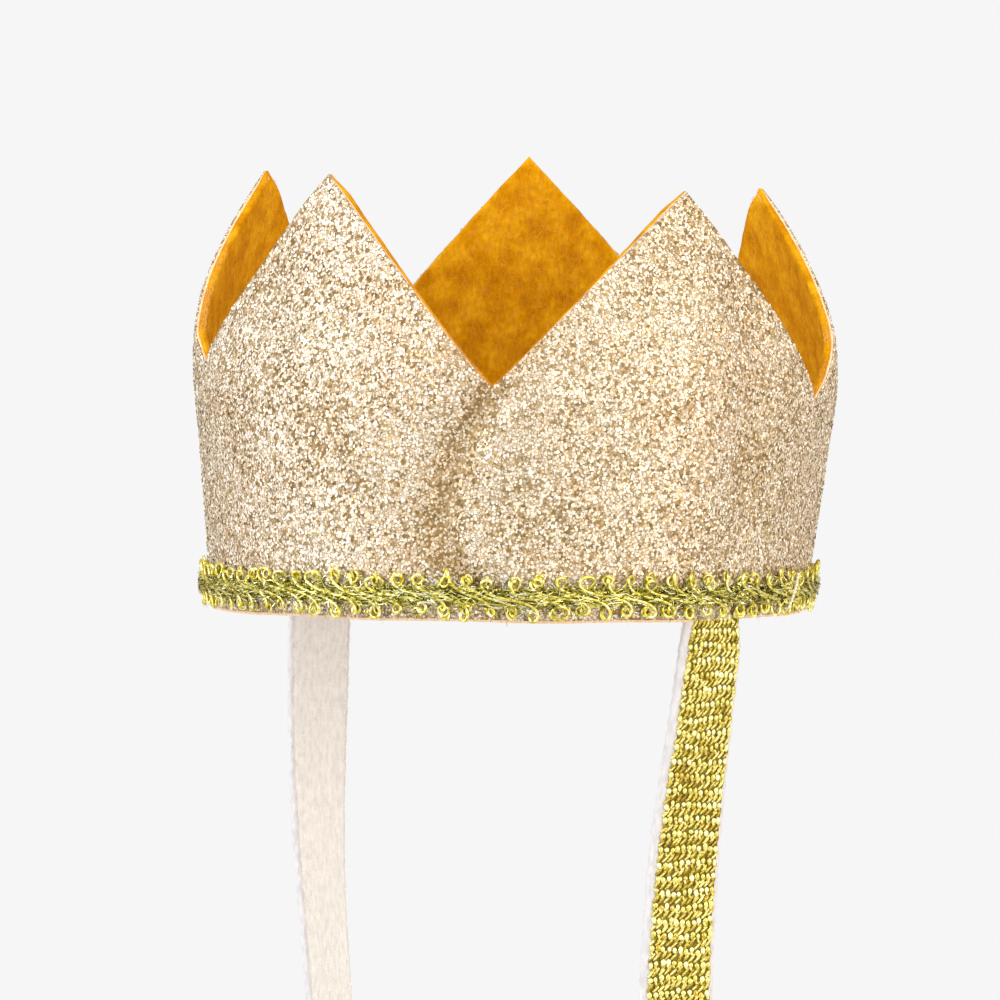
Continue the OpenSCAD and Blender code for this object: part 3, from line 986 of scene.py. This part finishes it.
def strap_web(label, s0, s1):
    """The elastic itself, with its own material on the gold side, the plush side and the selvages; the gold
    side is dark olive, as painted shade between the knit's beads and floats.
    """
    count = 40
    rows = max(12, int((s1 - s0) / 0.9))
    w, d = outline_of_web(count)
    s = np.repeat(np.linspace(s0, s1, rows)[:, None], count, 1)
    ww = w * (1 + 0.012 * np.sin(s * 2.3 + 1) + 0.01 * wave_noise(s, 0.0, 5, 14.0))
    dd = d + 0.05 * np.sin(s * 2 * np.pi / COURSE) * (np.abs(ww) > STRAP_W * 0.4)
    p, _, _ = strap_surface(s, ww, dd)
    mid_w, mid_d = (w + np.roll(w, -1)) / 2, (d + np.roll(d, -1)) / 2
    # The gold side takes the dark material, painted shade between the beads
    gold = (np.abs(mid_w - KNIT_SHIFT) < 5.4) & (mid_d > 0.3)
    plush = (np.abs(mid_w) < 5.9) & (mid_d < -0.3)
    # The cut ends have points of their own, so the shading runs straight through where two lengths meet
    cap = fan(count) + rows * count
    faces = np.concatenate([grid_faces(rows, count, wrap=True), cap, cap[:, ::-1] + count])
    index = np.tile(np.where(gold, 1, np.where(plush, 2, 0)), rows - 1)
    return make_object("strap_web_" + label, np.concatenate([p.reshape(-1, 3), p[0], p[-1]]), faces,
                       [WEB_SELVAGE_SHADED, WEB_GAP_SHADE, WEB_WHITE],
                       material_index=np.concatenate([index, np.zeros(2 * len(cap), int)]))


def web_height(at):
    """How far the web's outer face lies from the centreline: it falls away at the selvages."""
    return STRAP_T / 2 * (1 - 0.35 * smooth((np.abs(at) - 4.6) / 2.0))


def strap_knit(label, s0, s1, rng):
    """The gold side: rows of beads, and between them slanting floats and a short stitch that meets them."""
    across = (np.arange(WALES) - WALES // 2) * WALE + KNIT_SHIFT
    run = np.arange(math.ceil(s0 / COURSE), math.floor(s1 / COURSE) + 1) * COURSE
    w, s = np.meshgrid(across, run)
    m = w.size
    s = s + (0.04 * w + 0.30 * np.sin(s * 0.21 + w * 0.5) + 0.17 * rng.standard_normal(w.shape))
    w = w + 0.07 * rng.standard_normal(w.shape)
    p, n, wide = (v.reshape(-1, 3) for v in strap_surface(s, w, web_height(w) + 0.16))
    sizes = np.stack([0.47 + 0.05 * rng.standard_normal(m), 0.62 + 0.08 * rng.standard_normal(m),
                      np.full(m, 0.34)], -1)
    verts, faces = beads(p, wide, np.cross(wide, n), n, sizes)
    tone = rng.uniform(0, 1, m)
    per = len(verts) // m
    bead = make_object("strap_beads_" + label, verts, faces, KNIT_BEAD_LIT, attributes={
        "along": rng.uniform(0, 50, m).repeat(per), "tone": tone.repeat(per)})

    t = np.linspace(0, 1, 6)
    cords, tones = [], []
    # Each stitch: how far past the beads it starts, how far aside, its slant, its reach, radius and rise
    for shift, aside, lean, reach, radius, high in ((0.55, -0.10, 1.00, 1.05, 0.25, 0.12),
                                                   (1.05, 0.16, 0.85, 1.15, 0.24, 0.08),
                                                   (1.72, -0.05, -0.30, 0.70, 0.27, 0.12)):
        ss = s.reshape(-1, 1) + shift + reach * t + 0.08 * rng.standard_normal((m, 1))
        ww = w.reshape(-1, 1) + aside + lean * (t - 0.5) + 0.06 * rng.standard_normal((m, 1))
        hh = web_height(ww) + high * np.sin(np.pi * t) + 0.03
        ww = np.clip(ww, KNIT_SHIFT - KNIT_HALF, KNIT_SHIFT + KNIT_HALF)
        inside = ss.max(1) < PATH_RUN[-1]
        p, n, _ = strap_surface(ss[inside], ww[inside], hh[inside])
        verts, faces, along = tubes(p, n, radius)
        per = len(verts) // len(p)
        cords.append((verts, faces, along + np.repeat(rng.uniform(0, 40, len(p)), per)))
        tones.append(np.repeat(rng.uniform(0, 1, len(p)), per))
    verts, faces, along = join(cords)
    floats = make_object("strap_floats_" + label, verts, faces, KNIT_FLOAT_SHADED,
                         attributes={"along": along, "tone": np.concatenate(tones)})
    return bead, floats


def strap_plush(label, s0, s1, rng):
    """The soft pile of the side that lies on the skin."""
    count = int(PLUSH_PER_MM * (s1 - s0))
    s = rng.uniform(s0 + 0.2, s1 - 0.2, count)
    w = rng.uniform(-STRAP_W / 2 + 0.4, STRAP_W / 2 - 0.4, count)
    p, n, wide = strap_surface(s, w, -STRAP_T / 2)
    return fuzz("strap_plush_" + label, p, -n, wide, np.cross(n, wide), PLUSH, 0.6, 0.22, 0.07, int(s0) + 3)


def strap_part(label, s0, s1, place):
    """One length of the strap. Returns its web."""
    rng = np.random.default_rng(int(s0) + 17)
    web = strap_web(label, s0, s1)
    place(web, "elastic_white")
    for piece in strap_knit(label, s0, s1, rng):
        place(piece, "elastic_gold")
    place(strap_plush(label, s0, s1, rng), "elastic_white")
    return web


def run_at(z, left):
    """Run along the strap at which a strand passes a height."""
    half = len(PATH_Z) // 2
    if left:
        return float(np.interp(z, PATH_Z[half:], PATH_RUN[half:]))
    return float(np.interp(-z, -PATH_Z[:half], PATH_RUN[:half]))


def build_strap():
    def at_hem(piece, slot):
        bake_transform(piece)

    def below(piece, slot):
        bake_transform(piece)

    # Each length ends just before a row of the knit
    first, last = (round(run_at(SPLIT_Z, side) / COURSE) * COURSE - 0.35 for side in (False, True))
    right = strap_part("right", 0.0, first, at_hem)
    left = strap_part("left", last, PATH_RUN[-1], at_hem)
    loop = strap_part("loop", first, last, below)
    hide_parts("strap_tab_right", "strap_strand_right", "strap_stretch_right")
    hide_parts("strap_tab_left", "strap_strand_left", "strap_stretch_left")
    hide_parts("strap_loop")

    for side, node in ((1, "strap_stitches_left"), (-1, "strap_stitches_right")):
        cords = []
        t = np.linspace(0, 1, 9)
        for row_z in (3.2, 4.6, 11.5, 13.0):
            for k in np.arange(-5.2, 5.0, 1.75):
                s = np.full(len(t), run_at(row_z, side > 0) + 0.15 * np.sin(k * 3))
                p, n, _ = strap_surface(s, k + 1.35 * t, -STRAP_T / 2 - 0.16 * np.sin(np.pi * t) + 0.05)
                cords.append(cord(p, n, 0.17))
        crown_cords(node.replace("strap", "tab"), cords, TACK, node)


# ------ floor, light and camera
# The camera: height angle and roll, distance and the aim in metres, focal length and sensor in millimetres
VIEW_RISE = 1.95
VIEW_ROLL = -0.9
VIEW_DISTANCE = 1.3
AIM_HEIGHT = 0.0191
AIM_LEFT = 0.0026
LENS = 257.2128
SENSOR = 36.0


def build_stage():
    floor_z = CAD_BOX[0][2] - LOOP_ROOM * MM
    bpy.ops.mesh.primitive_circle_add(vertices=96, radius=0.75, fill_type="NGON", location=(0, 0, floor_z))
    floor = bpy.context.object
    floor.name = "studio_floor"
    m = Nodes("pale_floor")
    glow = m.node("Emission", Strength=1.0)
    glow.inputs["Color"].default_value = grey(0.86)
    matt = m.node("BsdfDiffuse")
    matt.inputs["Color"].default_value = grey(0.055)
    both = m.node("AddShader")
    m.link(glow.outputs[0], both.inputs[0])
    m.link(matt.outputs[0], both.inputs[1])
    m.link(both.outputs[0], m.out.inputs[0])
    floor.data.materials.append(m.material)


def build_world():
    """A pale room whose light is white on the photographer's side, and dimmer and warmer on the far side."""
    world = bpy.data.worlds.new("studio")
    bpy.context.scene.world = world
    world.use_nodes = True
    tree = world.node_tree
    tree.nodes.clear()
    new, link = tree.nodes.new, tree.links.new
    facing = new("ShaderNodeVectorMath")
    facing.operation = "DOT_PRODUCT"
    facing.inputs[1].default_value = (0.74, -0.67, 0.12)
    link(new("ShaderNodeTexCoord").outputs["Generated"], facing.inputs[0])
    half = new("ShaderNodeMath")
    half.operation = "MULTIPLY_ADD"
    half.inputs[1].default_value = half.inputs[2].default_value = 0.5
    link(facing.outputs["Value"], half.inputs[0])
    room = new("ShaderNodeValToRGB")
    far, near = room.color_ramp.elements
    far.position, far.color = 0.0, (0.58, 0.48, 0.34, 1)
    near.position, near.color = 0.55, (1.0, 0.995, 0.99, 1)
    link(half.outputs[0], room.inputs[0])
    light = new("ShaderNodeBackground")
    light.inputs["Strength"].default_value = 0.94
    link(room.outputs[0], light.inputs["Color"])
    # The camera sees a plain grey behind the crown
    seen = new("ShaderNodeBackground")
    seen.inputs["Color"].default_value = grey(0.922)
    mix = new("ShaderNodeMixShader")
    link(new("ShaderNodeLightPath").outputs["Is Camera Ray"], mix.inputs[0])
    link(light.outputs[0], mix.inputs[1])
    link(seen.outputs[0], mix.inputs[2])
    link(mix.outputs[0], new("ShaderNodeOutputWorld").inputs[0])


def direction(turn, rise):
    """Unit vector from the crown towards a turn and a height angle, both in degrees."""
    a, e = math.radians(turn), math.radians(rise)
    return np.array([math.sin(a) * math.cos(e), -math.cos(a) * math.cos(e), math.sin(e)])


def point_from(obj, place, back, roll=0.0):
    """Puts a lamp or camera at a place, looking against the direction back."""
    right = unit(np.cross([0, 0, 1.0], back))
    up = np.cross(back, right)
    c, s = math.cos(roll), math.sin(roll)
    matrix = np.eye(4)
    matrix[:3] = np.stack([c * right - s * up, s * right + c * up, back, place], 1)
    obj.matrix_world = Matrix(matrix.tolist())


def area_light(name, turn, rise, distance, size, power, aim_height=-0.01, colour=(1, 1, 1)):
    data = bpy.data.lights.new(name, "AREA")
    data.shape, data.size, data.energy, data.color = "DISK", size, power, colour
    obj = bpy.data.objects.new(name, data)
    bpy.context.scene.collection.objects.link(obj)
    back = direction(turn, rise)
    point_from(obj, np.array([0, 0, aim_height]) + back * distance, back)


def build_camera():
    back = direction(VIEW_TURN, VIEW_RISE)
    aim = np.array([0, 0, AIM_HEIGHT]) - unit(np.cross([0, 0, 1.0], back)) * AIM_LEFT
    data = bpy.data.cameras.new("camera")
    data.sensor_width = SENSOR
    data.lens = LENS
    data.clip_start, data.clip_end = 0.01, 50.0
    camera = bpy.data.objects.new("camera", data)
    bpy.context.scene.collection.objects.link(camera)
    point_from(camera, aim + back * VIEW_DISTANCE, back, math.radians(VIEW_ROLL))
    bpy.context.scene.camera = camera


build_camera()
build_wall()
build_seam()
build_braid()
build_strap()
build_stage()
build_world()
area_light("left_box", -14, 13, 1.2, 0.9, 9.0)
area_light("right_box", 98, 7, 1.2, 0.8, 8.0, colour=(1.0, 0.84, 0.60))
area_light("top_box", 60, 80, 1.2, 0.9, 6.0, aim_height=0.03)
bpy.context.scene.view_settings.view_transform = "Standard"
